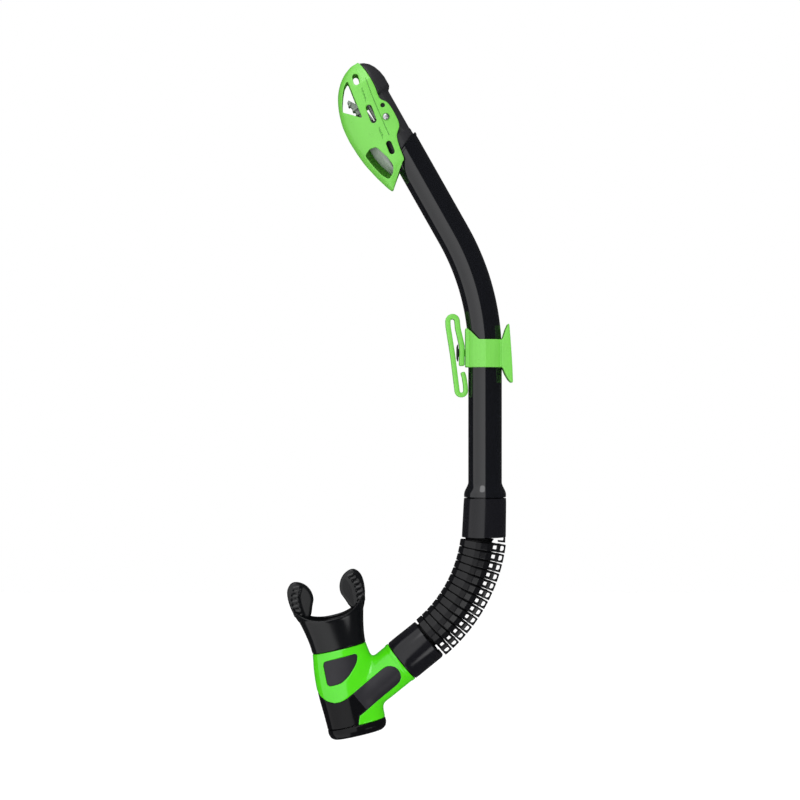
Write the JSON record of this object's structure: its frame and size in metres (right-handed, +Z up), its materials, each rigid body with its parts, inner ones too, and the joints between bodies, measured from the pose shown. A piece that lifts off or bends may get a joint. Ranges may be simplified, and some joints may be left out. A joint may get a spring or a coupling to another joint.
{
  "type": "snorkel tube",
  "caption": "Dry-top snorkel: float-valve top, bent barrel with sliding strap clip, linked flexible hose, swivelling purge body with exhaust valve, and soft mouthpiece.",
  "frame": {"origin": "middle of the strap slot in the hook, where the mask strap holds the snorkel", "axes": "+Z up along the straight part of the barrel; the diver's head is on the -X side; -Y is the outer side shown in the picture; the snorkel is mirrored about Y = 0"},
  "size_m": [0.146, 0.03, 0.4392],
  "materials": {
    "gloss_black": "polished black",
    "satin_black": "satin black",
    "hose_black": "matt black silicone hose",
    "black_silicone": "glossy black silicone",
    "light_green": "satin light green",
    "purge_green": "glossy green",
    "grey_plastic": "matt grey",
    "grey_silicone": "soft grey",
    "steel": "bright steel"
  },
  "bodies": {
    "hook": {"strap_hook": "light_green"},
    "collar": {"strap_collar": "light_green", "swivel_stud": "satin_black"},
    "barrel": {"barrel_tube": "gloss_black", "upper_cuff": "gloss_black", "bellows_hose": "hose_black", "dry_top_housing": "satin_black", "dry_top_shell": "light_green", "shell_screw_front": "steel", "shell_screw_back": "steel", "valve_seat": "grey_silicone", "float_pin": "steel"},
    "float_arm": {"float_lever": "grey_plastic", "valve_flap": "grey_silicone", "float": "grey_plastic"},
    "link_01": {"exo_link_01": "satin_black"},
    "link_02": {"exo_link_02": "satin_black"},
    "link_03": {"exo_link_03": "satin_black"},
    "link_04": {"exo_link_04": "satin_black"},
    "link_05": {"exo_link_05": "satin_black"},
    "link_06": {"exo_link_06": "satin_black"},
    "link_07": {"exo_link_07": "satin_black"},
    "link_08": {"exo_link_08": "satin_black"},
    "link_09": {"exo_link_09": "satin_black"},
    "link_10": {"exo_link_10": "satin_black"},
    "link_11": {"exo_link_11": "satin_black"},
    "link_12": {"exo_link_12": "satin_black"},
    "link_13": {"exo_link_13": "satin_black"},
    "lower_cuff": {"lower_cuff": "gloss_black", "hose_clamp_ring": "satin_black", "swivel_seal": "black_silicone"},
    "purge": {"purge_core": "gloss_black", "purge_skin": "purge_green", "purge_seat": "satin_black", "purge_cap": "gloss_black", "mouthpiece": "black_silicone"},
    "exhaust_disc": {"purge_valve": "grey_silicone"}
  },
  "joints": [
    {"name": "hook_swivel", "type": "hinge", "parent": "hook", "child": "collar", "pos_m": [0.004, 0, 0], "axis": [1, 0, 0], "range_deg": [-90, 90]},
    {"name": "collar_slide", "type": "slide", "parent": "collar", "child": "barrel", "axis": [0, 0, 1], "range_m": [0, 0.055]},
    {"name": "float_swing", "type": "hinge", "parent": "barrel", "child": "float_arm", "pos_m": [-0.05338, 0, 0.14677], "axis": [0, 1, 0], "range_deg": [0, 9]},
    {"name": "flex_01", "type": "hinge", "parent": "barrel", "child": "link_01", "pos_m": [0.02825, 0, -0.1236], "axis": [0, 1, 0], "range_deg": [-3.3, 0], "stiffness_Nm_per_rad": 2, "springref_deg": 1.49, "deforming": ["bellows_hose"]},
    {"name": "flex_02", "type": "hinge", "parent": "link_01", "child": "link_02", "pos_m": [0.02729, 0, -0.12974], "axis": [0, 1, 0], "range_deg": [-3.3, 0], "stiffness_Nm_per_rad": 2, "springref_deg": 1.49, "deforming": ["bellows_hose"]},
    {"name": "flex_03", "type": "hinge", "parent": "link_02", "child": "link_03", "pos_m": [0.02598, 0, -0.13582], "axis": [0, 1, 0], "range_deg": [-3.3, 0], "stiffness_Nm_per_rad": 2, "springref_deg": 1.49, "deforming": ["bellows_hose"]},
    {"name": "flex_04", "type": "hinge", "parent": "link_03", "child": "link_04", "pos_m": [0.02432, 0, -0.14181], "axis": [0, 1, 0], "range_deg": [-3.3, 0], "stiffness_Nm_per_rad": 2, "springref_deg": 1.49, "deforming": ["bellows_hose"]},
    {"name": "flex_05", "type": "hinge", "parent": "link_04", "child": "link_05", "pos_m": [0.02231, 0, -0.14769], "axis": [0, 1, 0], "range_deg": [-3.3, 0], "stiffness_Nm_per_rad": 2, "springref_deg": 1.49, "deforming": ["bellows_hose"]},
    {"name": "flex_06", "type": "hinge", "parent": "link_05", "child": "link_06", "pos_m": [0.01997, 0, -0.15345], "axis": [0, 1, 0], "range_deg": [-3.3, 0], "stiffness_Nm_per_rad": 2, "springref_deg": 1.49, "deforming": ["bellows_hose"]},
    {"name": "flex_07", "type": "hinge", "parent": "link_06", "child": "link_07", "pos_m": [0.01731, 0, -0.15907], "axis": [0, 1, 0], "range_deg": [-3.3, 0], "stiffness_Nm_per_rad": 2, "springref_deg": 1.49, "deforming": ["bellows_hose"]},
    {"name": "flex_08", "type": "hinge", "parent": "link_07", "child": "link_08", "pos_m": [0.01432, 0, -0.16452], "axis": [0, 1, 0], "range_deg": [-3.3, 0], "stiffness_Nm_per_rad": 2, "springref_deg": 1.49, "deforming": ["bellows_hose"]},
    {"name": "flex_09", "type": "hinge", "parent": "link_08", "child": "link_09", "pos_m": [0.01103, 0, -0.16979], "axis": [0, 1, 0], "range_deg": [-3.3, 0], "stiffness_Nm_per_rad": 2, "springref_deg": 1.49, "deforming": ["bellows_hose"]},
    {"name": "flex_10", "type": "hinge", "parent": "link_09", "child": "link_10", "pos_m": [0.00744, 0, -0.17487], "axis": [0, 1, 0], "range_deg": [-3.3, 0], "stiffness_Nm_per_rad": 2, "springref_deg": 1.49, "deforming": ["bellows_hose"]},
    {"name": "flex_11", "type": "hinge", "parent": "link_10", "child": "link_11", "pos_m": [0.00356, 0, -0.17972], "axis": [0, 1, 0], "range_deg": [-3.3, 0], "stiffness_Nm_per_rad": 2, "springref_deg": 1.49, "deforming": ["bellows_hose"]},
    {"name": "flex_12", "type": "hinge", "parent": "link_11", "child": "link_12", "pos_m": [-0.00059, 0, -0.18435], "axis": [0, 1, 0], "range_deg": [-3.3, 0], "stiffness_Nm_per_rad": 2, "springref_deg": 1.49, "deforming": ["bellows_hose"]},
    {"name": "flex_13", "type": "hinge", "parent": "link_12", "child": "link_13", "pos_m": [-0.00501, 0, -0.18873], "axis": [0, 1, 0], "range_deg": [-3.3, 0], "stiffness_Nm_per_rad": 2, "springref_deg": 1.49, "deforming": ["bellows_hose"]},
    {"name": "flex_14", "type": "hinge", "parent": "link_13", "child": "lower_cuff", "pos_m": [-0.00966, 0, -0.19285], "axis": [0, 1, 0], "range_deg": [-3.3, 0], "stiffness_Nm_per_rad": 2, "springref_deg": 1.49, "deforming": ["bellows_hose"]},
    {"name": "purge_swivel", "type": "hinge", "parent": "lower_cuff", "child": "purge", "pos_m": [-0.03468, 0, -0.19975], "axis": [0.7783, 0, 0.6279], "range_deg": [-90, 90]},
    {"name": "exhaust_lift", "type": "slide", "parent": "purge", "child": "exhaust_disc", "axis": [0.225, 0, -0.9744], "range_m": [0, 0.0012], "stiffness_N_per_m": 12, "springref_m": -0.0012}
  ],
  "couplings": [
    {"joint": "flex_01", "follows": "flex_14", "ratio": 1},
    {"joint": "flex_02", "follows": "flex_14", "ratio": 1},
    {"joint": "flex_03", "follows": "flex_14", "ratio": 1},
    {"joint": "flex_04", "follows": "flex_14", "ratio": 1},
    {"joint": "flex_05", "follows": "flex_14", "ratio": 1},
    {"joint": "flex_06", "follows": "flex_14", "ratio": 1},
    {"joint": "flex_07", "follows": "flex_14", "ratio": 1},
    {"joint": "flex_08", "follows": "flex_14", "ratio": 1},
    {"joint": "flex_09", "follows": "flex_14", "ratio": 1},
    {"joint": "flex_10", "follows": "flex_14", "ratio": 1},
    {"joint": "flex_11", "follows": "flex_14", "ratio": 1},
    {"joint": "flex_12", "follows": "flex_14", "ratio": 1},
    {"joint": "flex_13", "follows": "flex_14", "ratio": 1}
  ]
}
